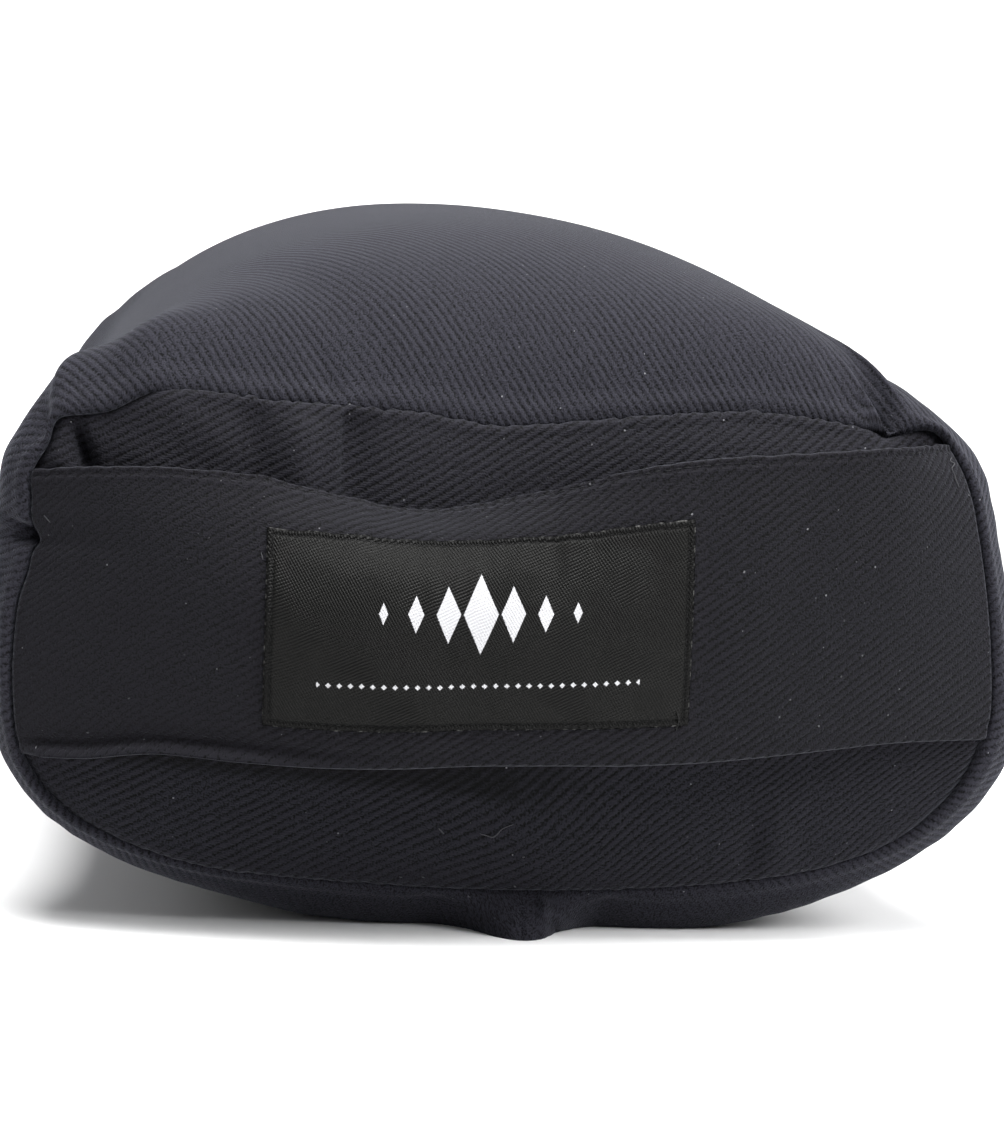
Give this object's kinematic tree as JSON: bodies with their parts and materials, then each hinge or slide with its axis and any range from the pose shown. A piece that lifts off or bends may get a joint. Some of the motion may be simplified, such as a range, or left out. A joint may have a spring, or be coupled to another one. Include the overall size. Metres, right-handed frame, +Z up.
{
  "type": "yoga bolster",
  "caption": "Filled rectangular yoga bolster: a crowned cloth tube with sewn end panels and a wide carrying strap with a woven label across the front panel.",
  "frame": {"origin": "middle of the flat underside, where the bolster lies on a floor", "axes": "+Y along the length, away from the end with the strap; +X to the right as seen from that end; +Z up"},
  "size_m": [0.3253, 0.6429, 0.224],
  "materials": {
    "tube_twill": "matte cotton twill",
    "panel_twill": "matte cotton twill",
    "strap_twill": "matte cotton twill",
    "label_satin": "satin weave with a soft sheen"
  },
  "bodies": {
    "root": {"body": "tube_twill", "end_panel_front": "panel_twill", "end_panel_back": "panel_twill", "handle_strap": "strap_twill", "label": "label_satin"}
  },
  "joints": []
}
